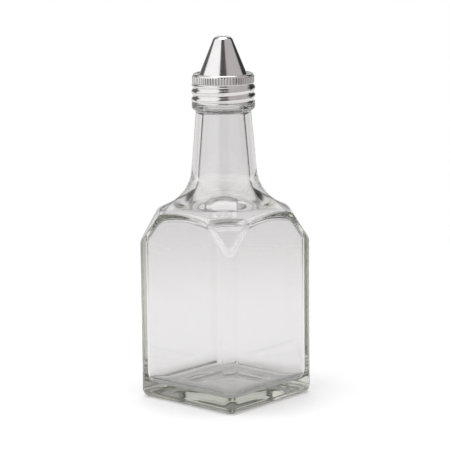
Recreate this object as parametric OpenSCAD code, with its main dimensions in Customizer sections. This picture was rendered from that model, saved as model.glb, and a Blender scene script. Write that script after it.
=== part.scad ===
// Square glass oil and vinegar bottle with a long neck, a rolled-thread
// steel screw cap and a conical pouring spout. All sizes in millimetres,
// +Z is up and the origin is the centre of the base.

/* [Bottle body] */
// Width across two opposite flat faces
body_width = 52; // [50:0.5:54]
// Radius of the four upright corners
corner_radius = 4; // [3.4:0.1:5]
// Radius between the faces and the base
heel_radius = 3.3; // [2:0.1:3.3]
// Height at the middle of each flat face's top edge
face_height = 79.8; // [78:0.2:81]
// Slope of the shoulder from horizontal, in degrees
shoulder_slope = 26; // [25:0.5:28]
// Height of the lower point of each corner facet
facet_apex_height = 66; // [65:0.5:67]
// Lean of each corner facet from horizontal, in degrees
facet_lean = 58; // [57:0.5:59]

/* [Glass walls] */
// Thickness of the flat walls
wall = 2.8; // [2.4:0.1:3.2]
// Thickness of the base
base_thickness = 6; // [5:0.2:8]
// Depth of the shallow dish under the base
dish_depth = 0.9; // [0.6:0.1:1.4]

/* [Neck] */
// Radius of the neck under the transfer bead
neck_top_radius = 11.45; // [11.2:0.05:11.6]
// Radius of the neck where it starts to flare
neck_low_radius = 13.4; // [13:0.1:14]
// Radius of the concave flare between neck and shoulder
flare_radius = 18; // [17:0.5:19]
// Radius of the bore at the lip
bore_top_radius = 7; // [6.8:0.1:7.2]
// Radius of the bore at the bottom of the neck
bore_low_radius = 10.2; // [10:0.1:10.4]

/* [Thread] */
// Rise of the thread in one turn
thread_pitch = 3.175; // [3.1:0.025:3.25]
// Height of the thread ridge above the neck finish
thread_depth = 1.15; // [0.9:0.05:1.2]

/* [Cap and spout] */
// Thickness of the cap and spout sheet
sheet = 0.38; // [0.34:0.02:0.42]
// Number of fine ribs round the cap
rib_count = 68; // [60:2:76]
// Overall height of the closed bottle
total_height = 150.5; // [149:0.5:152]
// Radius of the pouring hole in the tip
pour_hole_radius = 1.8; // [1.4:0.1:1.9]

/* [Output] */
// Piece to draw

/* [Hidden] */

round_segments = 96;
small_gap = 0.03;
cut = 1;

// Bottle body
half = body_width / 2;
diagonal_reach = (half - corner_radius) * sqrt(2) + corner_radius;
block_height = 90;
facet_size = 60;
dish_radius = 19;
dish_ball = (pow(dish_radius, 2) + pow(dish_depth, 2)) / (2 * dish_depth);

// Inner hollow
inner_half = half - wall;
inner_corner = corner_radius - 0.8;
inner_heel = 3.1;
shoulder_wall = 3.2;
shoulder_drop = shoulder_wall / cos(shoulder_slope);
facet_wall = 2.6;
inner_reach = diagonal_reach - facet_wall / sin(facet_lean);
inner_flare_radius = 15;

// Neck finish
flare_start_z = 96.5;
neck_top_z = 119.5;
finish_radius = 11.2;
lip_z = 133;
lip_round = 0.8;
bead_radius = 1.8;
bead_centre = [11.3, 122.1];
bead_top_z = 123.2;

// Thread: height of the ridge at zero degrees, in the bottle's frame
left_turn_angle = 221.9;
left_ridge_z = 127.9;
ridge_phase_z = left_ridge_z - thread_pitch * left_turn_angle / 360;
ridge_first_z = 125.4;
ridge_last_z = 129.4;
ridge_half_root = 1.0;
ridge_half_crest = 0.35;
ridge_root_inset = 0.5;
ridge_fade = 30;
ridge_step = 7.5;

// Cap
rim_z = lip_z + 2.4;
panel_z = rim_z - 0.4;
band_low_z = 131.4;
skirt_low_z = 123.6;
band_radius = 12.5;
rib_radius = 0.3;
rim_round = 0.8;
rim_inner_radius = 11.5;
panel_outer_radius = 11.2;
skirt_mid_radius = 12.88;
skirt_wave = 0.32;
skirt_hem = 13.1;
hem_height = 0.6;
band_blend = 0.8;
skirt_columns = 60;
skirt_rows = 22;

// Spout
spout_slope = 0.41;
spout_rim_radius = 9.7;
spout_round = 2.2;
flange_radius = 11.2;
flange_top_z = panel_z - sheet - small_gap;
flange_low_z = flange_top_z - sheet;
panel_hole_radius = spout_rim_radius + spout_slope * (rim_z - flange_top_z) + 0.1;

// Gasket
gasket_low_z = lip_z + small_gap;
gasket_top_z = flange_low_z - small_gap;
gasket_outer_radius = 11.6;
gasket_inner_radius = 6.4;

glass_colour = [0.80, 0.86, 0.83, 0.42];
steel_colour = [0.76, 0.75, 0.75];
spout_colour = [0.82, 0.81, 0.81];
gasket_colour = [0.90, 0.89, 0.85];

// Where two slanted lines meet, and the arc that joins them.
// A line is [radius, height, direction angle], the direction pointing
// away from the corner.
function line_unit(a) = [cos(a), sin(a)];
function cross2(a, b) = a[0] * b[1] - a[1] * b[0];
function meet(p, a, q, b) =
    p + line_unit(a) * cross2(q - p, line_unit(b)) / cross2(line_unit(a), line_unit(b));
function arc_reach(a, b, r) = r / tan(acos(line_unit(a) * line_unit(b)) / 2);
function arc_centre(corner, a, b, r) =
    let (bisector = line_unit(a) + line_unit(b))
    corner + bisector / norm(bisector) * r / sin(acos(line_unit(a) * line_unit(b)) / 2);

// ---------- Bottle body ----------

// Half section of the heel: an upright edge with a rounded foot
module heel_section(depth, foot, height) {
    intersection() {
        union() {
            translate([0, foot])
                square([depth, height - foot]);
            square([depth - foot, height]);
            translate([depth - foot, foot])
                circle(r = foot, $fn = round_segments);
        }
        square([depth, height]);
    }
}

// Square block with round upright corners and a rounded foot
module soft_block(half_side, corner, foot, height) {
    straight = half_side - corner;
    translate([-straight, -straight, 0])
        cube([2 * straight, 2 * straight, height]);
    for (side = [0:3]) {
        rotate([0, 0, 90 * side]) {
            translate([straight, straight, 0])
                rotate([90, 0, 0])
                    linear_extrude(height = 2 * straight)
                        heel_section(corner, foot, height);
            translate([straight, straight, 0])
                rotate_extrude(angle = 90, $fn = round_segments)
                    heel_section(corner, foot, height);
        }
    }
}

// Everything outside one corner facet
module facet_cut(reach) {
    for (side = [0:3]) {
        rotate([0, 0, 45 + 90 * side])
            translate([reach, 0, facet_apex_height])
                rotate([0, facet_lean - 90, 0])
                    translate([0, -facet_size / 2, -facet_size / 2])
                        cube([facet_size, facet_size, facet_size]);
    }
}

// Half section under a neck line, a concave flare and a shoulder line
module neck_section(top, low, edge, slope, flare, roof_z, floor_z) {
    neck_angle = atan2(top[1] - low[1], top[0] - low[0]);
    corner = meet(low, neck_angle, edge, -slope);
    reach = arc_reach(neck_angle, -slope, flare);
    tangent_up = corner + line_unit(neck_angle) * reach;
    tangent_out = corner + line_unit(-slope) * reach;
    far = edge + line_unit(-slope) * half;
    roof = meet(low, neck_angle, [0, roof_z], 0);
    difference() {
        polygon([
            [0, floor_z],
            [far[0], floor_z],
            far,
            tangent_out,
            tangent_up,
            roof,
            [0, roof_z]
        ]);
        translate(arc_centre(corner, neck_angle, -slope, flare))
            circle(r = flare, $fn = 2 * round_segments);
    }
}

// The mould's outer shape: block, shoulder, facets and neck in one
module outer_shape() {
    difference() {
        intersection() {
            soft_block(half, corner_radius, heel_radius, neck_top_z);
            rotate_extrude($fn = round_segments)
                neck_section(
                    top = [neck_top_radius, neck_top_z],
                    low = [neck_low_radius, flare_start_z],
                    edge = [half, face_height],
                    slope = shoulder_slope,
                    flare = flare_radius,
                    roof_z = neck_top_z,
                    floor_z = -cut
                );
        }
        facet_cut(diagonal_reach);
    }
}

// The hollow, from the inner floor to beyond the lip
module inner_shape() {
    difference() {
        intersection() {
            translate([0, 0, base_thickness])
                soft_block(inner_half, inner_corner, inner_heel, lip_z);
            rotate_extrude($fn = round_segments)
                neck_section(
                    top = [bore_top_radius, lip_z],
                    low = [bore_low_radius, flare_start_z],
                    edge = [half, face_height - shoulder_drop],
                    slope = shoulder_slope,
                    flare = inner_flare_radius,
                    roof_z = lip_z + cut,
                    floor_z = 0
                );
        }
        facet_cut(inner_reach);
    }
}

// Straight finish with a rounded lip, above the transfer bead
module finish_section() {
    height = lip_z - neck_top_z;
    translate([0, neck_top_z]) {
        square([finish_radius - lip_round, height]);
        square([finish_radius, height - lip_round]);
        translate([finish_radius - lip_round, height - lip_round])
            circle(r = lip_round, $fn = round_segments);
    }
    intersection() {
        translate(bead_centre)
            circle(r = bead_radius, $fn = round_segments);
        translate([0, neck_top_z])
            square([2 * finish_radius, bead_top_z - neck_top_z]);
    }
}

// One cross-section of the glass thread, fading out at both ends
function ridge_ring(angle, fade) =
    let (
        z = ridge_phase_z + thread_pitch * angle / 360,
        root = finish_radius - ridge_root_inset,
        crest = finish_radius + thread_depth * fade - ridge_root_inset / 2 * (1 - fade),
        section = [
            [root, z - ridge_half_root],
            [crest, z - ridge_half_crest],
            [crest, z + ridge_half_crest],
            [root, z + ridge_half_root]
        ]
    )
    [for (p = section) [p[0] * cos(angle), p[0] * sin(angle), p[1]]];

module glass_thread() {
    first = (ridge_first_z - ridge_phase_z) / thread_pitch * 360;
    last = (ridge_last_z - ridge_phase_z) / thread_pitch * 360;
    steps = ceil((last - first) / ridge_step);
    angles = [for (i = [0:steps]) first + (last - first) * i / steps];
    points = [
        for (a = angles)
            each ridge_ring(a, max(0, min(1, (a - first) / ridge_fade, (last - a) / ridge_fade)))
    ];
    sides = [
        for (i = [0:steps - 1])
            for (j = [0:3])
                each [
                    [4 * i + j, 4 * i + 4 + j, 4 * i + (j + 1) % 4],
                    [4 * i + (j + 1) % 4, 4 * i + 4 + j, 4 * i + 4 + (j + 1) % 4]
                ]
    ];
    end = 4 * steps;
    polyhedron(
        points = points,
        faces = concat(sides, [[0, 1, 2, 3]], [[end + 3, end + 2, end + 1, end]]),
        convexity = 6
    );
}

module glass_bottle() {
    color(glass_colour)
        difference() {
            union() {
                outer_shape();
                rotate_extrude($fn = round_segments)
                    finish_section();
                glass_thread();
            }
            inner_shape();
            translate([0, 0, dish_depth - dish_ball])
                sphere(r = dish_ball, $fn = 4 * round_segments);
        }
}

// ---------- Gasket ----------

module sealing_gasket() {
    color(gasket_colour)
        translate([0, 0, gasket_low_z])
            difference() {
                cylinder(
                    r = gasket_outer_radius,
                    h = gasket_top_z - gasket_low_z,
                    $fn = round_segments
                );
                translate([0, 0, -cut])
                    cylinder(
                        r = gasket_inner_radius,
                        h = gasket_top_z - gasket_low_z + 2 * cut,
                        $fn = round_segments
                    );
            }
}

// ---------- Cap ----------

// Half section under the cap's outer face, moved inwards by a distance
module cap_section(inset) {
    core_radius = band_radius - rim_round;
    low_z = band_low_z - (inset > 0 ? cut : 0);
    slant = inset / 2;
    difference() {
        union() {
            translate([0, low_z])
                square([core_radius, rim_z - inset - low_z]);
            translate([0, low_z])
                square([band_radius - inset, rim_z - rim_round - low_z]);
            translate([core_radius, rim_z - rim_round])
                circle(r = rim_round - inset, $fn = round_segments);
        }
        polygon([
            [0, panel_z - inset],
            [panel_outer_radius + slant, panel_z - inset],
            [rim_inner_radius + slant, rim_z - inset],
            [rim_inner_radius + slant, rim_z + cut],
            [0, rim_z + cut]
        ]);
    }
}

module cap_top() {
    difference() {
        rotate_extrude($fn = round_segments)
            difference() {
                cap_section(0);
                cap_section(sheet);
            }
        translate([0, 0, panel_z - 2 * cut])
            cylinder(r = panel_hole_radius, h = 3 * cut, $fn = round_segments);
    }
}

module cap_ribs() {
    rib_low_z = band_low_z + 0.2;
    rib_height = rim_z - rim_round - rib_low_z;
    for (i = [0:rib_count - 1]) {
        rotate([0, 0, 360 * i / rib_count])
            translate([band_radius, 0, rib_low_z])
                cylinder(r = rib_radius, h = rib_height, $fn = 24);
    }
}

function smooth_step(t) = let (u = max(0, min(1, t))) u * u * (3 - 2 * u);
function blend(a, b, t) = a + (b - a) * t;

// Outer radius of the rolled skirt at an angle and a height
function skirt_radius(angle, z) =
    let (
        turn = 360 * (z - ridge_phase_z) / thread_pitch - angle,
        wave = skirt_mid_radius + skirt_wave * cos(turn),
        hemmed = blend(skirt_hem, wave, smooth_step((z - skirt_low_z) / hem_height))
    )
    blend(band_radius - 0.1, hemmed, smooth_step((band_low_z - z) / band_blend));

module cap_skirt() {
    top_z = band_low_z + 0.3;
    inner_gap = sheet - 0.02;
    levels = [for (j = [0:skirt_rows]) blend(skirt_low_z, top_z, j / skirt_rows)];
    turns = [for (i = [0:skirt_columns - 1]) 360 * i / skirt_columns];
    n = skirt_columns;
    count = n * (skirt_rows + 1);
    function skirt_ring(z, inset) =
        [for (a = turns) let (r = skirt_radius(a, z) - inset) [r * cos(a), r * sin(a), z]];
    points = concat(
        [for (z = levels) each skirt_ring(z, 0)],
        [for (z = levels) each skirt_ring(z, inner_gap)]
    );
    function tile(a, b, c, d) = [[a, b, c], [a, c, d]];
    outer = [
        for (j = [0:skirt_rows - 1])
            for (i = [0:n - 1])
                let (k = (i + 1) % n)
                each tile(j * n + i, (j + 1) * n + i, (j + 1) * n + k, j * n + k)
    ];
    inner = [
        for (j = [0:skirt_rows - 1])
            for (i = [0:n - 1])
                let (k = (i + 1) % n)
                each tile(
                    count + j * n + i,
                    count + j * n + k,
                    count + (j + 1) * n + k,
                    count + (j + 1) * n + i
                )
    ];
    last = skirt_rows * n;
    ends = [
        for (i = [0:n - 1])
            let (k = (i + 1) % n)
            each concat(
                tile(i, k, count + k, count + i),
                tile(last + i, count + last + i, count + last + k, last + k)
            )
    ];
    polyhedron(points = points, faces = concat(outer, inner, ends), convexity = 10);
}

module screw_cap() {
    color(steel_colour) {
        cap_top();
        cap_ribs();
        cap_skirt();
    }
}

// ---------- Spout ----------

// Half section under the cone's outer face, moved inwards by a distance
module spout_section(inset) {
    side_angle = atan2(1, -spout_slope);
    low = [spout_rim_radius - inset * sqrt(1 + pow(spout_slope, 2)), rim_z];
    roof_z = total_height - inset;
    foot_z = flange_low_z - (inset > 0 ? cut : 0);
    tip = meet(low, side_angle, [0, roof_z], 0);
    round = spout_round - inset;
    reach = arc_reach(side_angle - 180, 180, round);
    polygon([
        [0, foot_z],
        meet(low, side_angle, [0, foot_z], 0),
        tip - line_unit(side_angle) * reach,
        tip - [reach, 0],
        [0, roof_z]
    ]);
    intersection() {
        translate(arc_centre(tip, side_angle - 180, 180, round))
            circle(r = round, $fn = round_segments);
        translate([0, roof_z - 2 * round])
            square([2 * round + spout_round, 2 * round]);
    }
}

module spout_cone() {
    color(spout_colour)
        difference() {
            union() {
                rotate_extrude($fn = round_segments)
                    difference() {
                        spout_section(0);
                        spout_section(sheet);
                    }
                translate([0, 0, flange_low_z])
                    difference() {
                        cylinder(r = flange_radius, h = sheet, $fn = round_segments);
                        translate([0, 0, -cut])
                            cylinder(
                                r = spout_rim_radius,
                                h = sheet + 2 * cut,
                                $fn = round_segments
                            );
                    }
            }
            translate([0, 0, total_height - spout_round])
                cylinder(r = pour_hole_radius, h = spout_round + cut, $fn = round_segments);
        }
}

glass_bottle();
sealing_gasket();
screw_cap();
spout_cone();
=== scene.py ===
import math

import bpy
import numpy as np
from mathutils import Matrix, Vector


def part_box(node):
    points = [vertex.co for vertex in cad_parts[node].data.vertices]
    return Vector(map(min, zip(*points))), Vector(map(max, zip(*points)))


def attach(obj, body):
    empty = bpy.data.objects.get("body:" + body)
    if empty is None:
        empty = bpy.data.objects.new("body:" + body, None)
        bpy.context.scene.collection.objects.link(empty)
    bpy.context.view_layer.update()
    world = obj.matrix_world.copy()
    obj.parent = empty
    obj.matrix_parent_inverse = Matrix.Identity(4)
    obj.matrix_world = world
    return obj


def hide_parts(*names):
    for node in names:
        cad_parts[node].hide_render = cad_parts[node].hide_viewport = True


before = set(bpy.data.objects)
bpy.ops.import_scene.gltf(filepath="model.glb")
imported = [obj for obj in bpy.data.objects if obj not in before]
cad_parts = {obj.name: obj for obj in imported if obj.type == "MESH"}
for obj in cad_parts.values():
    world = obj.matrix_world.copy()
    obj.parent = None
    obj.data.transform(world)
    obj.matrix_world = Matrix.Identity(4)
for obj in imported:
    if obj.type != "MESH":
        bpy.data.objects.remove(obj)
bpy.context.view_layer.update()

MM = 0.001
TAU = 2 * math.pi

# ---------------------------------------------------------------- sizes
# Boxes of the CAD nodes fix every outer size; the rest are wall and edge sizes in mm.
glass_low, glass_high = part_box("glass_bottle")
cap_low, cap_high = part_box("screw_cap")
spout_low, spout_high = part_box("spout_cone")
gasket_low, gasket_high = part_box("sealing_gasket")

HALF = glass_high.x / MM
LIP_Z = glass_high.z / MM
TOTAL_Z = spout_high.z / MM
CAP_LOW_Z = cap_low.z / MM
RIM_Z = cap_high.z / MM
SPOUT_LOW_Z = spout_low.z / MM
GASKET_LOW_Z = gasket_low.z / MM
GASKET_HIGH_Z = gasket_high.z / MM
GASKET_OUTER_R = gasket_high.x / MM

CORNER_R = 4.0
HEEL_R = 3.3
FACE_Z = 79.8
SHOULDER_SLOPE = math.radians(26)
FACET_Z = 66.0
FACET_LEAN = math.radians(58)
FACET_REACH = (HALF - CORNER_R) * math.sqrt(2) + CORNER_R
# Above this height the facets have left the glass, and the neck is round
FACET_END_Z = 90.0
# How far each pair of surfaces is eased together along its edge
FACET_EASE = 0.5
SHOULDER_EASE = 0.9
INNER_FACET_EASE = 1.0
INNER_SHOULDER_EASE = 1.8

WALL = 2.8
FLOOR_Z = 6.0
# The inner floor is a little higher in the middle
FLOOR_CROWN = 0.5
DISH_R = 19.0
DISH_DEPTH = 0.9
SHOULDER_WALL = 3.2
FACET_WALL = 2.6
INNER_CORNER_R = 3.2
INNER_HEEL_R = 4.5

NECK_TOP = (11.45, 119.5)
NECK_LOW = (13.4, 96.5)
FLARE_R = 18.0
BORE_TOP = (7.0, 133.0)
BORE_LOW = (10.2, 96.5)
INNER_FLARE_R = 15.0
FINISH_R = 11.2
LIP_ROUND = 0.8
BEAD_R = 1.8
BEAD_CENTRE = (11.3, 122.1)
BEAD_TOP_Z = 123.2
BEAD_EDGE_R = 0.5
# The level top of the bead, and the small hollow between it and the threaded wall
SHELF_OUTER_R = 12.0
SHELF_INNER_R = 11.5
COLLAR_R = 0.4

PITCH = 3.175
RIDGE_PHASE_Z = 127.9 - PITCH * 221.9 / 360
RIDGE_FIRST_Z = 125.4
RIDGE_LAST_Z = 129.4
RIDGE_DEPTH = 1.15
RIDGE_HALF_WIDTH = 0.95
RIDGE_FLANK = 0.62
# Degrees over which each end of the thread runs out
RIDGE_RUN_OUT = 35

SHEET = 0.38
# Small bevel on the cut edges of the sheet
EDGE = 0.08
BAND_R = 12.5
BAND_LOW_Z = 131.4
RIM_ROUND = 0.8
RIM_INNER_R = 11.5
PANEL_OUTER_R = 11.2
PANEL_DROP = 0.4
RIB_COUNT = 68
RIB_HEIGHT = 0.28
RIB_SHARPNESS = 0.8
RIB_SAMPLES = 8
# Heights over which the ribs run out at the bottom and at the top of the band
RIB_LOW_FADE = 0.3
RIB_TOP_FADE = 0.35
SKIRT_R = 12.88
SKIRT_WAVE = 0.32
HEM_R = 13.1
# The waist between the ribbed band and the skirt is this much smaller than the band
WAIST_DEPTH = 0.12
# Heights over which the rolls run into the hem below and the waist above
HEM_BLEND = 0.6
WAIST_BLEND = 0.8

SPOUT_SLOPE = 0.41
SPOUT_RIM_R = 9.7
SPOUT_ROUND = 2.2
SPOUT_FIT = 0.1
FLANGE_R = 11.2
POUR_R = 1.8

GASKET_INNER_R = 6.4
GASKET_EDGE = 0.25


# ---------------------------------------------------------------- curves
def unit(angle):
    return np.array([math.cos(angle), math.sin(angle)])


def cross(a, b):
    return a[0] * b[1] - a[1] * b[0]


def meet(p, a, q, b):
    """Where the line through p at angle a meets the line through q at angle b."""
    p, q = np.array(p, float), np.array(q, float)
    return p + unit(a) * cross(q - p, unit(b)) / cross(unit(a), unit(b))


def smooth(t):
    t = np.clip(t, 0.0, 1.0)
    return t * t * (3 - 2 * t)


def arc(centre, radius, start, end, count):
    """Points (radius, height) along an arc; the angles are in degrees."""
    turn = np.radians(np.linspace(start, end, count))
    return [(centre[0] + radius * math.cos(t), centre[1] + radius * math.sin(t)) for t in turn]


def line(a, b, count):
    """Evenly spaced points from a to b, both included."""
    return [tuple(p) for p in np.linspace(np.array(a, float), np.array(b, float), count)]


class NeckCurve:
    """Radius by height: a straight neck, a concave flare and a straight shoulder."""

    def __init__(self, top, low, edge, slope, flare):
        self.top, self.low = top, low
        neck = math.atan2(top[1] - low[1], top[0] - low[0])
        self.edge, self.slope, self.flare = edge, slope, flare
        corner = meet(low, neck, edge, -slope)
        half_turn = math.acos(float(unit(neck) @ unit(-slope))) / 2
        reach = flare / math.tan(half_turn)
        self.up_z = (corner + unit(neck) * reach)[1]
        self.out_z = (corner + unit(-slope) * reach)[1]
        middle = unit(neck) + unit(-slope)
        self.centre = corner + middle / np.linalg.norm(middle) * flare / math.sin(half_turn)

    def radius(self, z):
        neck = self.low[0] + (z - self.low[1]) * (self.top[0] - self.low[0]) / (
            self.top[1] - self.low[1]
        )
        inside = np.clip(self.flare ** 2 - (z - self.centre[1]) ** 2, 0.0, None)
        flare = self.centre[0] - np.sqrt(inside)
        shoulder = self.edge[0] + (self.edge[1] - z) / math.tan(self.slope)
        return np.where(z > self.up_z, neck, np.where(z > self.out_z, flare, shoulder))

    def lean(self, z):
        """Cosine of the surface's lean, to turn a radial gap into a distance."""
        step = 0.01
        slope = (self.radius(z - step) - self.radius(z + step)) / (2 * step)
        return 1 / np.sqrt(1 + slope ** 2)


OUTER_NECK = NeckCurve(NECK_TOP, NECK_LOW, (HALF, FACE_Z), SHOULDER_SLOPE, FLARE_R)
INNER_NECK = NeckCurve(
    BORE_TOP,
    BORE_LOW,
    (HALF, FACE_Z - SHOULDER_WALL / math.cos(SHOULDER_SLOPE)),
    SHOULDER_SLOPE,
    INNER_FLARE_R,
)


# ---------------------------------------------------------------- glass shape
def block_gap(x, y, half, corner):
    """Signed distance to a square with round corners."""
    qx = np.abs(x) - (half - corner)
    qy = np.abs(y) - (half - corner)
    outside = np.hypot(np.maximum(qx, 0), np.maximum(qy, 0))
    return outside + np.minimum(np.maximum(qx, qy), 0) - corner


def both(a, b, round_r):
    """Signed distance to the overlap of two shapes, with a rounded edge."""
    u = np.maximum(a + round_r, 0)
    v = np.maximum(b + round_r, 0)
    return np.minimum(-round_r, np.maximum(a, b)) + np.hypot(u, v)


def facet_gap(x, y, z, reach):
    """Signed distance to the nearest of the four corner facets."""
    across = (np.abs(x) + np.abs(y)) / math.sqrt(2)
    gap = (across - reach) * math.sin(FACET_LEAN) + (z - FACET_Z) * math.cos(FACET_LEAN)
    return np.where(z > FACET_END_Z, -reach, gap)


def eased(a, b, ease):
    """Signed distance to the overlap of two shapes that meet at a blunt angle."""
    near = np.maximum(ease - np.abs(a - b), 0) / ease
    return np.maximum(a, b) + near * near * ease / 4


def glass_gap(radius, turn, z, half, corner, reach, neck, eases, foot, floor_z):
    x, y = radius * np.cos(turn), radius * np.sin(turn)
    gap = eased(block_gap(x, y, half, corner), facet_gap(x, y, z, reach), eases[0])
    gap = eased(gap, (radius - neck.radius(z)) * neck.lean(z), eases[1])
    return both(gap, floor_z - z, foot)


# The search for the surface starts between the axis and this radius
SEARCH_R = 60.0
HALVINGS = 40


def solve_radius(turns, heights, **shape):
    """Radius of the glass surface for every height and turn, by halving."""
    turn, z = np.meshgrid(turns, heights)
    low, high = np.zeros_like(z), np.full_like(z, SEARCH_R)
    for _ in range(HALVINGS):
        middle = (low + high) / 2
        outside = glass_gap(middle, turn, z, **shape) > 0
        high = np.where(outside, middle, high)
        low = np.where(outside, low, middle)
    return (low + high) / 2


GLASS_TURNS = 384
CORNER_CROWDING = 0.065


def even_turns(count):
    """Evenly spaced turns round the axis."""
    return np.arange(count) / count * TAU


def corner_turns(count):
    """Turns round the axis, closer together near the four upright corners."""
    even = even_turns(count)
    return even + CORNER_CROWDING * np.sin(4 * even)


def foot_heights(floor_z, foot, count):
    t = np.linspace(0.02, 1, count) * math.pi / 2
    return floor_z + foot * (1 - np.cos(t))


def ring(turns, radius, z):
    """One closed row of points; radius and z are numbers or one value for each turn."""
    radius = np.broadcast_to(np.asarray(radius, float), turns.shape)
    z = np.broadcast_to(np.asarray(z, float), turns.shape)
    return np.stack([radius * np.cos(turns), radius * np.sin(turns), z], axis=1)


def ridge_height(turns, z):
    """How far the glass thread stands out at each turn, for one height."""
    height = np.zeros_like(turns)
    first = (RIDGE_FIRST_Z - RIDGE_PHASE_Z) / PITCH * 360
    last = (RIDGE_LAST_Z - RIDGE_PHASE_Z) / PITCH * 360
    degrees = np.degrees(turns) % 360
    for wrap in (-360, 0, 360, 720):
        angle = degrees + wrap
        centre_z = RIDGE_PHASE_Z + PITCH * angle / 360
        start = smooth((angle - first) / RIDGE_RUN_OUT)
        end = smooth((last - angle) / RIDGE_RUN_OUT)
        fade = start * end
        shape = smooth((RIDGE_HALF_WIDTH - np.abs(z - centre_z)) / RIDGE_FLANK)
        height = np.maximum(height, RIDGE_DEPTH * fade * shape)
    return height


def underside_rows(turns, foot):
    """The shallow dish under the base and the flat ring round it, out to the foot."""
    rows = []
    for share in np.linspace(0.04, 1.0, 24):
        lift = DISH_DEPTH * (1 - share ** 2) * smooth((1 - share) * 8 + 0.2)
        rows.append(ring(turns, DISH_R * share, lift))
    for share in np.linspace(0.2, 1.0, 5):
        rows.append(ring(turns, DISH_R + (foot - DISH_R) * share, 0.0))
    return rows


def finish_rows(turns):
    """The bead below the cap, the threaded wall and the outside of the lip."""
    edge_z = BEAD_TOP_Z - BEAD_EDGE_R
    edge_reach = math.sqrt(BEAD_R ** 2 - (edge_z - BEAD_CENTRE[1]) ** 2)
    edge_start = math.degrees(math.asin((edge_z - BEAD_CENTRE[1]) / BEAD_R))
    edge_centre = (BEAD_CENTRE[0] + edge_reach - BEAD_EDGE_R * 0.75, edge_z)
    collar_centre = (FINISH_R + COLLAR_R, BEAD_TOP_Z + 0.42)
    profile = arc(BEAD_CENTRE, BEAD_R, -80, edge_start, 26)
    profile += arc(edge_centre, BEAD_EDGE_R, 25, 90, 7)
    profile += line((SHELF_OUTER_R, BEAD_TOP_Z), (SHELF_INNER_R, BEAD_TOP_Z + 0.02), 3)
    profile += arc(collar_centre, COLLAR_R, -100, -180, 5)
    rows = [ring(turns, r, z) for r, z in profile]
    for z in np.linspace(BEAD_TOP_Z + 0.6, LIP_Z - LIP_ROUND, 70):
        rows.append(ring(turns, FINISH_R + ridge_height(turns, z), z))
    lip_centre = (FINISH_R - LIP_ROUND, LIP_Z - LIP_ROUND)
    rows += [ring(turns, r, z) for r, z in arc(lip_centre, LIP_ROUND, 8, 90, 9)]
    return rows


def outer_rows(turns):
    """Rows of the outside of the glass, from the middle of the base to the lip."""
    shape = dict(
        half=HALF,
        corner=CORNER_R,
        reach=FACET_REACH,
        neck=OUTER_NECK,
        eases=(FACET_EASE, SHOULDER_EASE),
        foot=HEEL_R,
        floor_z=0.0,
    )
    heights = np.concatenate([
        foot_heights(0.0, HEEL_R, 18),
        np.linspace(5, 60, 40),
        np.linspace(60.4, 84, 110),
        np.linspace(84.4, 98, 40),
        np.linspace(98.8, NECK_TOP[1], 26),
    ])
    radii = solve_radius(turns, heights, **shape)
    body = [ring(turns, r, z) for r, z in zip(radii, heights)]
    return underside_rows(turns, radii[0]) + body + finish_rows(turns)


def inner_rows(turns):
    """Rows of the hollow, from the lip down to the middle of the inner floor."""
    shape = dict(
        half=HALF - WALL,
        corner=INNER_CORNER_R,
        reach=FACET_REACH - FACET_WALL / math.sin(FACET_LEAN),
        neck=INNER_NECK,
        eases=(INNER_FACET_EASE, INNER_SHOULDER_EASE),
        foot=INNER_HEEL_R,
        floor_z=FLOOR_Z,
    )
    heights = np.concatenate([
        np.linspace(LIP_Z - LIP_ROUND, 96, 40),
        np.linspace(95.5, 82, 40),
        np.linspace(81.7, 58, 90),
        np.linspace(57, FLOOR_Z + INNER_HEEL_R + 0.6, 30),
        foot_heights(FLOOR_Z, INNER_HEEL_R, 18)[::-1],
    ])
    radii = solve_radius(turns, heights, **shape)
    lip = arc((BORE_TOP[0] + LIP_ROUND, LIP_Z - LIP_ROUND), LIP_ROUND, 90, 172, 8)
    rows = [ring(turns, r, z) for r, z in lip]
    rows += [ring(turns, r, z) for r, z in zip(radii, heights)]
    floor = radii[-1]
    for share in np.linspace(0.97, 0.04, 30):
        crown = FLOOR_CROWN * smooth(1 - share)
        rows.append(ring(turns, floor * share, FLOOR_Z + crown))
    return rows


def make_mesh(name, rows, closed_loop=False, low_tip=None, high_tip=None):
    """A smooth skin over rows of points, all with the same number of points."""
    n = len(rows[0])
    points = [tuple(p * MM) for row in rows for p in row]
    faces = []
    spans = len(rows) if closed_loop else len(rows) - 1
    for j in range(spans):
        a, b = j * n, ((j + 1) % len(rows)) * n
        for i in range(n):
            k = (i + 1) % n
            faces.append((a + i, a + k, b + k, b + i))
    for tip, row, flip in ((low_tip, 0, True), (high_tip, len(rows) - 1, False)):
        if tip is None:
            continue
        points.append(tuple(np.array(tip, float) * MM))
        middle = len(points) - 1
        for i in range(n):
            k = (i + 1) % n
            a, b = row * n + i, row * n + k
            faces.append((b, a, middle) if flip else (a, b, middle))
    mesh = bpy.data.meshes.new(name)
    mesh.from_pydata(points, [], faces)
    mesh.validate()
    mesh.polygons.foreach_set("use_smooth", [True] * len(mesh.polygons))
    mesh.update()
    piece = bpy.data.objects.new(name, mesh)
    bpy.context.scene.collection.objects.link(piece)
    return piece


def build_glass():
    turns = corner_turns(GLASS_TURNS)
    rows = outer_rows(turns) + inner_rows(turns)
    dish_tip = (0, 0, DISH_DEPTH)
    floor_tip = (0, 0, FLOOR_Z + FLOOR_CROWN)
    return make_mesh("moulded_glass", rows, low_tip=dish_tip, high_tip=floor_tip)


# ---------------------------------------------------------------- cap
def skirt_radius(turns, z):
    """Outer radius of the rolled thread at one height."""
    wave = SKIRT_R + SKIRT_WAVE * np.cos(TAU * (z - RIDGE_PHASE_Z) / PITCH - turns)
    hemmed = HEM_R + (wave - HEM_R) * smooth((z - CAP_LOW_Z) / HEM_BLEND)
    waist = BAND_R - WAIST_DEPTH
    return waist + (hemmed - waist) * smooth((BAND_LOW_Z - z) / WAIST_BLEND)


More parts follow.
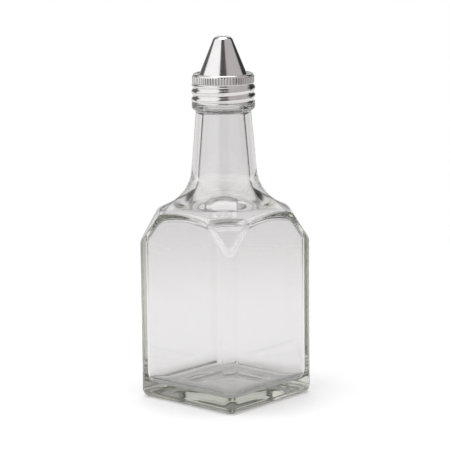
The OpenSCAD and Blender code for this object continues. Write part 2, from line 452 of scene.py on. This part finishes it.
def rib_radius(turns, z, top_z):
    """Outer radius of the ribbed band at one height."""
    rib = (0.5 + 0.5 * np.cos(turns * RIB_COUNT)) ** RIB_SHARPNESS
    fade = smooth((z - BAND_LOW_Z) / RIB_LOW_FADE) * smooth((top_z - z) / RIB_TOP_FADE)
    return BAND_R + RIB_HEIGHT * rib * fade


PANEL_Z = RIM_Z - PANEL_DROP
PANEL_HOLE_R = SPOUT_RIM_R + SPOUT_SLOPE * (RIM_Z - PANEL_Z + SHEET) + SPOUT_FIT
RIM_CENTRE = (BAND_R - RIM_ROUND, RIM_Z - RIM_ROUND)


def cap_outside(turns):
    """From the panel's hole over the rim and down the outside to the hem."""
    top = line((PANEL_HOLE_R + EDGE, PANEL_Z), (PANEL_OUTER_R - 0.1, PANEL_Z), 5)
    top += line((PANEL_OUTER_R + 0.03, PANEL_Z + 0.04), (RIM_INNER_R - 0.03, RIM_Z - 0.04), 5)
    top += line((RIM_INNER_R + 0.12, RIM_Z), (RIM_CENTRE[0], RIM_Z), 5)
    top += arc(RIM_CENTRE, RIM_ROUND, 84, 6, 12)
    rows = [ring(turns, r, z) for r, z in top]
    rib_top = RIM_Z - RIM_ROUND
    for z in np.linspace(rib_top, BAND_LOW_Z + 0.02, 30):
        rows.append(ring(turns, rib_radius(turns, z, rib_top), z))
    for z in np.linspace(BAND_LOW_Z - 0.03, CAP_LOW_Z + EDGE, 64):
        rows.append(ring(turns, skirt_radius(turns, z), z))
    rows.append(ring(turns, HEM_R - 0.10, CAP_LOW_Z))
    return rows


def cap_inside(turns):
    """From the hem up the inside, under the rim and back to the panel's hole."""
    rows = [ring(turns, HEM_R - SHEET + 0.10, CAP_LOW_Z)]
    for z in np.linspace(CAP_LOW_Z + EDGE, BAND_LOW_Z - 0.03, 48):
        rows.append(ring(turns, skirt_radius(turns, z) - SHEET, z))
    for z in np.linspace(BAND_LOW_Z + 0.2, RIM_Z - RIM_ROUND, 6):
        rows.append(ring(turns, BAND_R - SHEET, z))
    panel_under_z = PANEL_Z - SHEET
    under = arc(RIM_CENTRE, RIM_ROUND - SHEET, 10, 90, 6)
    under += line((RIM_INNER_R + 0.19, RIM_Z - SHEET), (PANEL_OUTER_R + 0.19, panel_under_z), 4)
    under += line((PANEL_OUTER_R, panel_under_z), (PANEL_HOLE_R + EDGE, panel_under_z), 4)
    under += [(PANEL_HOLE_R, panel_under_z + EDGE), (PANEL_HOLE_R, PANEL_Z - EDGE)]
    return rows + [ring(turns, r, z) for r, z in under]


def build_cap():
    turns = even_turns(RIB_COUNT * RIB_SAMPLES)
    rows = cap_outside(turns) + cap_inside(turns)
    return make_mesh("rolled_cap", rows[::-1], closed_loop=True)


# ---------------------------------------------------------------- spout and gasket
def spout_wall(inset, count):
    """Side, rounded shoulder and flat tip of the cone, moved inwards by a distance."""
    side = math.atan2(1, -SPOUT_SLOPE)
    low = (SPOUT_RIM_R - inset * math.sqrt(1 + SPOUT_SLOPE ** 2), RIM_Z)
    roof = TOTAL_Z - inset
    tip = meet(low, side, (0, roof), 0)
    radius = SPOUT_ROUND - inset
    reach = radius / math.tan(side / 2)
    start = tip - unit(side) * reach
    centre = (tip[0] - reach, roof - radius)
    start_angle = math.degrees(math.atan2(start[1] - centre[1], start[0] - centre[0]))
    foot_z = SPOUT_LOW_Z + (0.0 if inset else SHEET)
    foot = meet(low, side, (0, foot_z + 0.25), 0)
    return line(foot, start, count) + arc(centre, radius, start_angle, 90, 16)[1:]


def build_spout():
    turns = even_turns(256)
    outer = spout_wall(0.0, 30)
    inner = spout_wall(SHEET, 24)
    flange_top = SPOUT_LOW_Z + SHEET
    profile = [(FLANGE_R - EDGE, SPOUT_LOW_Z), (FLANGE_R, SPOUT_LOW_Z + EDGE)]
    profile += [(FLANGE_R, flange_top - EDGE), (FLANGE_R - EDGE, flange_top)]
    profile += [(outer[0][0] + 0.22, flange_top)]
    profile += outer
    profile += [(POUR_R + 0.05, TOTAL_Z - 0.02), (POUR_R, TOTAL_Z - 0.09)]
    profile += [(POUR_R, TOTAL_Z - SHEET + 0.05)]
    profile += [p for p in inner[::-1] if p[0] > POUR_R]
    profile += [(inner[0][0] + 0.1, SPOUT_LOW_Z + 0.04), (inner[0][0] + 0.35, SPOUT_LOW_Z)]
    rows = [ring(turns, r, z) for r, z in profile]
    return make_mesh("spun_spout", rows, closed_loop=True)


def build_gasket():
    turns = even_turns(160)
    outer_r = GASKET_OUTER_R - GASKET_EDGE
    inner_r = GASKET_INNER_R + GASKET_EDGE
    low = GASKET_LOW_Z + GASKET_EDGE
    high = GASKET_HIGH_Z - GASKET_EDGE
    profile = arc((outer_r, low), GASKET_EDGE, -90, 0, 6)
    profile += arc((outer_r, high), GASKET_EDGE, 0, 90, 6)
    profile += arc((inner_r, high), GASKET_EDGE, 90, 180, 6)
    profile += arc((inner_r, low), GASKET_EDGE, 180, 270, 6)
    rows = [ring(turns, r, z) for r, z in profile]
    return make_mesh("sealing_ring", rows, closed_loop=True)


# ---------------------------------------------------------------- materials
def new_material(name):
    material = bpy.data.materials.new(name)
    material.use_nodes = True
    return material, material.node_tree.nodes, material.node_tree.links


def add_noise(nodes, links, scale, detail=4.0, stretch=(1, 1, 1)):
    """Noise over the object's own coordinates, stretched along the axes."""
    coords = nodes.new("ShaderNodeTexCoord")
    mapping = nodes.new("ShaderNodeMapping")
    mapping.inputs["Scale"].default_value = stretch
    noise = nodes.new("ShaderNodeTexNoise")
    noise.inputs["Scale"].default_value = scale
    noise.inputs["Detail"].default_value = detail
    links.new(coords.outputs["Object"], mapping.inputs["Vector"])
    links.new(mapping.outputs["Vector"], noise.inputs["Vector"])
    return noise


def add_bump(nodes, links, source, shader, strength, distance):
    bump = nodes.new("ShaderNodeBump")
    bump.inputs["Strength"].default_value = strength
    bump.inputs["Distance"].default_value = distance
    links.new(source, bump.inputs["Height"])
    links.new(bump.outputs["Normal"], shader.inputs["Normal"])


def calculate(nodes, links, operation, *values):
    """One Math node; each value is a number or another node's output."""
    step = nodes.new("ShaderNodeMath")
    step.operation = operation
    for value, socket in zip(values, step.inputs):
        if isinstance(value, float):
            socket.default_value = value
        else:
            links.new(value, socket)
    return step.outputs[0]


def mix_colours(nodes, links, factor, low, high):
    """Goes from the colour low to the colour high, which may be plain, as the factor rises."""
    mix = nodes.new("ShaderNodeMix")
    mix.data_type = "RGBA"
    links.new(factor, mix.inputs["Factor"])
    links.new(low, mix.inputs["A"])
    if isinstance(high, tuple):
        mix.inputs["B"].default_value = high
    else:
        links.new(high, mix.inputs["B"])
    return mix.outputs["Result"]


GLASS_TONE = (0.928, 0.924, 0.930, 1)
GLASS_IOR = 1.52
# The tint that light takes on inside the glass, and how fast, for each metre
GLASS_TINT = (0.59, 0.61, 0.52, 1)
GLASS_TINT_DENSITY = 21.0
# How dark the painted shade in the bottoms of the grooves between the ribs is, from 0 to 1, and
# its colour
PAINTED_SHADE_STRENGTH = 0.38
PAINTED_SHADE_COLOUR = (0.05, 0.045, 0.045, 1)
# The part of the ribbed band whose grooves get painted shade
PAINTED_SHADE_LOW_Z = BAND_LOW_Z + 0.2
PAINTED_SHADE_HIGH_Z = RIM_Z - RIM_ROUND - 0.1


def glass_material():
    """Clear moulded glass, faintly green where it is thick, with a slight ripple."""
    material, nodes, links = new_material("clear_glass")
    shader = nodes["Principled BSDF"]
    shader.inputs["Base Color"].default_value = GLASS_TONE
    shader.inputs["Transmission Weight"].default_value = 1.0
    shader.inputs["Roughness"].default_value = 0.0
    shader.inputs["IOR"].default_value = GLASS_IOR
    ripple = add_noise(nodes, links, scale=55.0, detail=2.0, stretch=(1, 1, 0.6))
    add_bump(nodes, links, ripple.outputs["Fac"], shader, strength=0.05, distance=0.0001)
    tint = nodes.new("ShaderNodeVolumeAbsorption")
    tint.inputs["Color"].default_value = GLASS_TINT
    tint.inputs["Density"].default_value = GLASS_TINT_DENSITY
    links.new(tint.outputs["Volume"], nodes["Material Output"].inputs["Volume"])
    return material


def steel_material(name, colour, rough_low, rough_high, brushing):
    """Bright steel with fine turning marks and uneven polish."""
    material, nodes, links = new_material(name)
    shader = nodes["Principled BSDF"]
    shader.inputs["Metallic"].default_value = 1.0
    wear = add_noise(nodes, links, scale=180.0, detail=6.0)
    tone = nodes.new("ShaderNodeValToRGB")
    tone.color_ramp.elements[0].position = 0.3
    tone.color_ramp.elements[1].position = 0.7
    tone.color_ramp.elements[0].color = tuple(c * 0.93 for c in colour) + (1,)
    tone.color_ramp.elements[1].color = tuple(colour) + (1,)
    links.new(wear.outputs["Fac"], tone.inputs["Fac"])
    links.new(tone.outputs["Color"], shader.inputs["Base Color"])
    marks = add_noise(nodes, links, scale=260.0, detail=3.0, stretch=(0.15, 0.15, 9.0))
    rough = nodes.new("ShaderNodeMapRange")
    rough.inputs["From Min"].default_value = 0.3
    rough.inputs["From Max"].default_value = 0.7
    rough.inputs["To Min"].default_value = rough_low
    rough.inputs["To Max"].default_value = rough_high
    links.new(marks.outputs["Fac"], rough.inputs["Value"])
    links.new(rough.outputs["Result"], shader.inputs["Roughness"])
    add_bump(nodes, links, marks.outputs["Fac"], shader, strength=brushing, distance=0.00005)
    return material


def paint_shade_in_grooves(material):
    """Paints shade into the bottoms of the grooves between the ribs of the band, darkening the
    steel's colour there.
    """
    nodes, links = material.node_tree.nodes, material.node_tree.links
    coords = nodes.new("ShaderNodeTexCoord")
    split = nodes.new("ShaderNodeSeparateXYZ")
    links.new(coords.outputs["Object"], split.inputs[0])
    x, y, z = split.outputs["X"], split.outputs["Y"], split.outputs["Z"]
    turn = calculate(nodes, links, "ARCTAN2", y, x)
    phase = calculate(nodes, links, "MULTIPLY", turn, float(RIB_COUNT))
    wave = calculate(nodes, links, "COSINE", phase)
    hollow = calculate(nodes, links, "SUBTRACT", 1.0, wave)
    depth = calculate(nodes, links, "MULTIPLY", hollow, PAINTED_SHADE_STRENGTH / 2)
    above = calculate(nodes, links, "GREATER_THAN", z, PAINTED_SHADE_LOW_Z * MM)
    below = calculate(nodes, links, "LESS_THAN", z, PAINTED_SHADE_HIGH_Z * MM)
    band = calculate(nodes, links, "MULTIPLY", above, below)
    shade = calculate(nodes, links, "MULTIPLY", depth, band)
    # Painted shade: the steel's colour is mixed towards a near-black in the grooves
    socket = nodes["Principled BSDF"].inputs["Base Color"]
    tone = socket.links[0].from_socket
    dark = mix_colours(nodes, links, shade, tone, PAINTED_SHADE_COLOUR)
    links.new(dark, socket)


def gasket_material():
    material, nodes, links = new_material("soft_gasket")
    shader = nodes["Principled BSDF"]
    shader.inputs["Roughness"].default_value = 0.6
    mottle = add_noise(nodes, links, scale=900.0, detail=3.0)
    tone = nodes.new("ShaderNodeValToRGB")
    tone.color_ramp.elements[0].color = (0.74, 0.73, 0.68, 1)
    tone.color_ramp.elements[1].color = (0.84, 0.83, 0.79, 1)
    links.new(mottle.outputs["Fac"], tone.inputs["Fac"])
    links.new(tone.outputs["Color"], shader.inputs["Base Color"])
    add_bump(nodes, links, mottle.outputs["Fac"], shader, strength=0.2, distance=0.0001)
    return material


# ---------------------------------------------------------------- studio
CAMERA_AZIMUTH = math.radians(41.9)
CAMERA_DISTANCE = 0.9026
CAMERA_HEIGHT = 0.2376
CAMERA_PITCH = math.radians(10.39)
CAMERA_ROLL = math.radians(-0.60)
CAMERA_SIDESTEP = 0.00012
CAMERA_LENS = 177.1

# Brightness round the object at four heights, each with its degrees from the camera's side;
# positive is its right. This one is well above the horizon.
UPPER_STUDIO = [
    (-180, (0.88, 0.87, 0.875)),
    (-162, (0.84, 0.83, 0.835)),
    (-150, (0.16, 0.155, 0.155)),
    (-118, (0.10, 0.10, 0.10)),
    (-108, (1.12, 1.11, 1.11)),
    (-24, (1.12, 1.11, 1.11)),
    (-15, (0.10, 0.09, 0.09)),
    (15, (0.10, 0.09, 0.09)),
    (24, (0.54, 0.51, 0.51)),
    (108, (0.54, 0.51, 0.51)),
    (118, (0.03, 0.03, 0.03)),
    (150, (0.05, 0.05, 0.05)),
    (162, (0.84, 0.83, 0.835)),
    (180, (0.88, 0.87, 0.875)),
]
# Just above the horizon the far side is dark, which shows in the glass of the shoulder
FAR_SIDE = 162
FAR_TONE = (0.27, 0.26, 0.26)
LEVEL_STUDIO = [(d, FAR_TONE if abs(d) >= FAR_SIDE else tone) for d, tone in UPPER_STUDIO]
# Just below the horizon; from here down, narrow dark gaps draw the lines in the neck
LOWER_STUDIO = [
    (-180, (0.84, 0.83, 0.835)),
    (-128, (0.80, 0.79, 0.79)),
    (-123, (0.08, 0.08, 0.08)),
    (-115, (0.08, 0.08, 0.08)),
    (-110, (0.90, 0.89, 0.89)),
    (-26, (1.12, 1.11, 1.11)),
    (-16, (0.10, 0.09, 0.09)),
    (14, (0.10, 0.09, 0.09)),
    (24, (0.52, 0.49, 0.49)),
    (110, (0.60, 0.58, 0.58)),
    (115, (0.06, 0.06, 0.06)),
    (123, (0.06, 0.06, 0.06)),
    (128, (0.74, 0.73, 0.73)),
    (180, (0.84, 0.83, 0.835)),
]
# Lower still, there is no dark strip on the camera's side
GROUND_STUDIO = [
    (-180, (0.84, 0.83, 0.835)),
    (-128, (0.80, 0.79, 0.79)),
    (-123, (0.08, 0.08, 0.08)),
    (-115, (0.08, 0.08, 0.08)),
    (-110, (0.72, 0.72, 0.70)),
    (0, (0.60, 0.60, 0.58)),
    (110, (0.60, 0.60, 0.58)),
    (115, (0.06, 0.06, 0.06)),
    (123, (0.06, 0.06, 0.06)),
    (128, (0.74, 0.73, 0.73)),
    (180, (0.84, 0.83, 0.835)),
]


def ramp_round(nodes, links, share, stops):
    """A colour ramp that runs once round the horizon."""
    ramp = nodes.new("ShaderNodeValToRGB")
    elements = ramp.color_ramp.elements
    while len(elements) > 1:
        elements.remove(elements[-1])
    for k, (degrees, colour) in enumerate(stops):
        place = (degrees + 180) / 360
        stop = elements[0] if k == 0 else elements.new(place)
        stop.position = place
        stop.color = tuple(colour) + (1,)
    links.new(share, ramp.inputs["Fac"])
    return ramp.outputs["Color"]


def height_share(nodes, links, height, low, high):
    """0 below one height and 1 above another, smoothly."""
    share = nodes.new("ShaderNodeMapRange")
    share.interpolation_type = "SMOOTHSTEP"
    share.inputs["From Min"].default_value = low
    share.inputs["From Max"].default_value = high
    links.new(height, share.inputs["Value"])
    return share.outputs["Result"]


# Heights of a direction's end, on a sphere of radius 1, where one ramp gives way to the next
GROUND_BLEND = (-0.145, -0.125)
HORIZON_BLEND = (-0.02, 0.06)
LEVEL_BLEND = (0.14, 0.20)
OVERHEAD_BLEND = (0.80, 0.95)
OVERHEAD_TONE = (1.0, 1.0, 1.0, 1)


def round_share(nodes, links, x, y):
    """A direction's angle from the camera's side, as 0 to 1 round the horizon."""
    turn = calculate(nodes, links, "ARCTAN2", y, x)
    side = calculate(nodes, links, "SUBTRACT", turn, CAMERA_AZIMUTH - math.pi / 2)
    wrapped = calculate(nodes, links, "WRAP", side, -math.pi, math.pi)
    share = nodes.new("ShaderNodeMapRange")
    share.inputs["From Min"].default_value = -math.pi
    share.inputs["From Max"].default_value = math.pi
    links.new(wrapped, share.inputs["Value"])
    return share.outputs["Result"]


def studio_walls(nodes, links):
    """Colour of the surroundings: one ramp round the horizon for each band of heights."""
    coords = nodes.new("ShaderNodeTexCoord")
    split = nodes.new("ShaderNodeSeparateXYZ")
    links.new(coords.outputs["Generated"], split.inputs[0])
    share = round_share(nodes, links, split.outputs["X"], split.outputs["Y"])
    walls = ramp_round(nodes, links, share, GROUND_STUDIO)
    bands = (
        (GROUND_BLEND, LOWER_STUDIO),
        (HORIZON_BLEND, LEVEL_STUDIO),
        (LEVEL_BLEND, UPPER_STUDIO),
    )
    for blend, stops in bands:
        ramp = ramp_round(nodes, links, share, stops)
        above = height_share(nodes, links, split.outputs["Z"], *blend)
        walls = mix_colours(nodes, links, above, walls, ramp)
    overhead = height_share(nodes, links, split.outputs["Z"], *OVERHEAD_BLEND)
    return mix_colours(nodes, links, overhead, walls, OVERHEAD_TONE)


def build_world():
    """Soft studio all round, behind a backdrop that is plain white to the camera."""
    world = bpy.data.worlds.new("studio")
    bpy.context.scene.world = world
    world.use_nodes = True
    nodes, links = world.node_tree.nodes, world.node_tree.links
    lit = nodes["Background"]
    lit.inputs["Strength"].default_value = 1.0
    links.new(studio_walls(nodes, links), lit.inputs["Color"])
    plain = nodes.new("ShaderNodeBackground")
    plain.inputs["Color"].default_value = (1, 1, 1, 1)
    path = nodes.new("ShaderNodeLightPath")
    pick = nodes.new("ShaderNodeMixShader")
    links.new(path.outputs["Is Camera Ray"], pick.inputs["Fac"])
    links.new(lit.outputs[0], pick.inputs[1])
    links.new(plain.outputs[0], pick.inputs[2])
    links.new(pick.outputs[0], nodes["World Output"].inputs["Surface"])


FLOOR_RADIUS = 0.42
# The table top starts to fade at this distance from its middle
FLOOR_FADE = 0.16
FLOOR_SIDES = 96
# The table's own glow: as light on the object, and as the camera sees it
FLOOR_GLOW = 0.12
FLOOR_GLOW_SEEN = 0.25


def floor_material():
    """Pale and matt, and clear towards the edge."""
    material, nodes, links = new_material("pale_floor")
    shader = nodes["Principled BSDF"]
    shader.inputs["Base Color"].default_value = (0.9, 0.9, 0.9, 1)
    shader.inputs["Roughness"].default_value = 0.8
    shader.inputs["Specular IOR Level"].default_value = 0.0
    shader.inputs["Emission Color"].default_value = (1, 1, 1, 1)
    glow = nodes.new("ShaderNodeMapRange")
    glow.inputs["To Min"].default_value = FLOOR_GLOW
    glow.inputs["To Max"].default_value = FLOOR_GLOW_SEEN
    path = nodes.new("ShaderNodeLightPath")
    links.new(path.outputs["Is Camera Ray"], glow.inputs["Value"])
    links.new(glow.outputs["Result"], shader.inputs["Emission Strength"])
    coords = nodes.new("ShaderNodeTexCoord")
    reach = nodes.new("ShaderNodeVectorMath")
    reach.operation = "LENGTH"
    links.new(coords.outputs["Object"], reach.inputs[0])
    fade = nodes.new("ShaderNodeMapRange")
    fade.interpolation_type = "SMOOTHSTEP"
    fade.inputs["From Min"].default_value = FLOOR_FADE
    fade.inputs["From Max"].default_value = FLOOR_RADIUS
    links.new(reach.outputs["Value"], fade.inputs["Value"])
    clear = nodes.new("ShaderNodeBsdfTransparent")
    mix = nodes.new("ShaderNodeMixShader")
    links.new(fade.outputs["Result"], mix.inputs["Fac"])
    links.new(shader.outputs["BSDF"], mix.inputs[1])
    links.new(clear.outputs["BSDF"], mix.inputs[2])
    links.new(mix.outputs[0], nodes["Material Output"].inputs["Surface"])
    return material


def build_floor():
    """A pale round table top that fades into the backdrop at its edge."""
    rim = [unit(turn) * FLOOR_RADIUS for turn in even_turns(FLOOR_SIDES)]
    points = [(x, y, 0) for x, y in rim]
    mesh = bpy.data.meshes.new("floor")
    mesh.from_pydata(points, [], [list(range(FLOOR_SIDES))])
    floor = bpy.data.objects.new("floor", mesh)
    bpy.context.scene.collection.objects.link(floor)
    floor.data.materials.append(floor_material())


SOFTBOX_HEIGHT = 1.6
SOFTBOX_SIZE = 1.2
SOFTBOX_POWER = 9.0


def build_softbox():
    """A square light straight above; area lights shine down when unturned."""
    light = bpy.data.lights.new("top_softbox", "AREA")
    light.shape = "SQUARE"
    light.size = SOFTBOX_SIZE
    light.energy = SOFTBOX_POWER
    lamp = bpy.data.objects.new("top_softbox", light)
    bpy.context.scene.collection.objects.link(lamp)
    lamp.location = (0, 0, SOFTBOX_HEIGHT)


def build_camera():
    data = bpy.data.cameras.new("camera")
    data.lens = CAMERA_LENS
    data.sensor_width = 36.0
    data.clip_start = 0.01
    camera = bpy.data.objects.new("camera", data)
    bpy.context.scene.collection.objects.link(camera)
    side = CAMERA_AZIMUTH
    camera.location = (
        CAMERA_DISTANCE * math.sin(side) + CAMERA_SIDESTEP * math.cos(side),
        -CAMERA_DISTANCE * math.cos(side) + CAMERA_SIDESTEP * math.sin(side),
        CAMERA_HEIGHT,
    )
    spin = Matrix.Rotation(side, 4, "Z") @ Matrix.Rotation(math.pi / 2 - CAMERA_PITCH, 4, "X")
    spin = spin @ Matrix.Rotation(CAMERA_ROLL, 4, "Z")
    camera.rotation_euler = spin.to_euler()
    bpy.context.scene.camera = camera


# ---------------------------------------------------------------- assembly
def finish_piece(piece, material, node, body):
    piece.data.materials.clear()
    piece.data.materials.append(material)
    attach(piece, body)
    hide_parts(node)


def build_object():
    finish_piece(build_glass(), glass_material(), "glass_bottle", "bottle")
    cap_steel = steel_material("cap_steel", (0.80, 0.785, 0.785), 0.10, 0.22, 0.10)
    # Painted shade: the steel's colour is darkened in the grooves between the cap's ribs
    paint_shade_in_grooves(cap_steel)
    finish_piece(build_cap(), cap_steel, "screw_cap", "cap")
    spout_steel = steel_material("spout_steel", (0.83, 0.82, 0.82), 0.08, 0.16, 0.08)
    finish_piece(build_spout(), spout_steel, "spout_cone", "cap")
    finish_piece(build_gasket(), gasket_material(), "sealing_gasket", "seal")


# Light is followed this far; with Cycles' own limits the sides of the glass are far darker
MAX_BOUNCES = 32


def build_studio():
    build_world()
    build_floor()
    build_softbox()
    build_camera()
    cycles = bpy.context.scene.cycles
    cycles.max_bounces = MAX_BOUNCES
    cycles.glossy_bounces = MAX_BOUNCES
    cycles.transmission_bounces = MAX_BOUNCES
    view = bpy.context.scene.view_settings
    view.view_transform = "Standard"
    view.look = "None"
    view.exposure = 0.0
    view.gamma = 1.0


build_object()
build_studio()
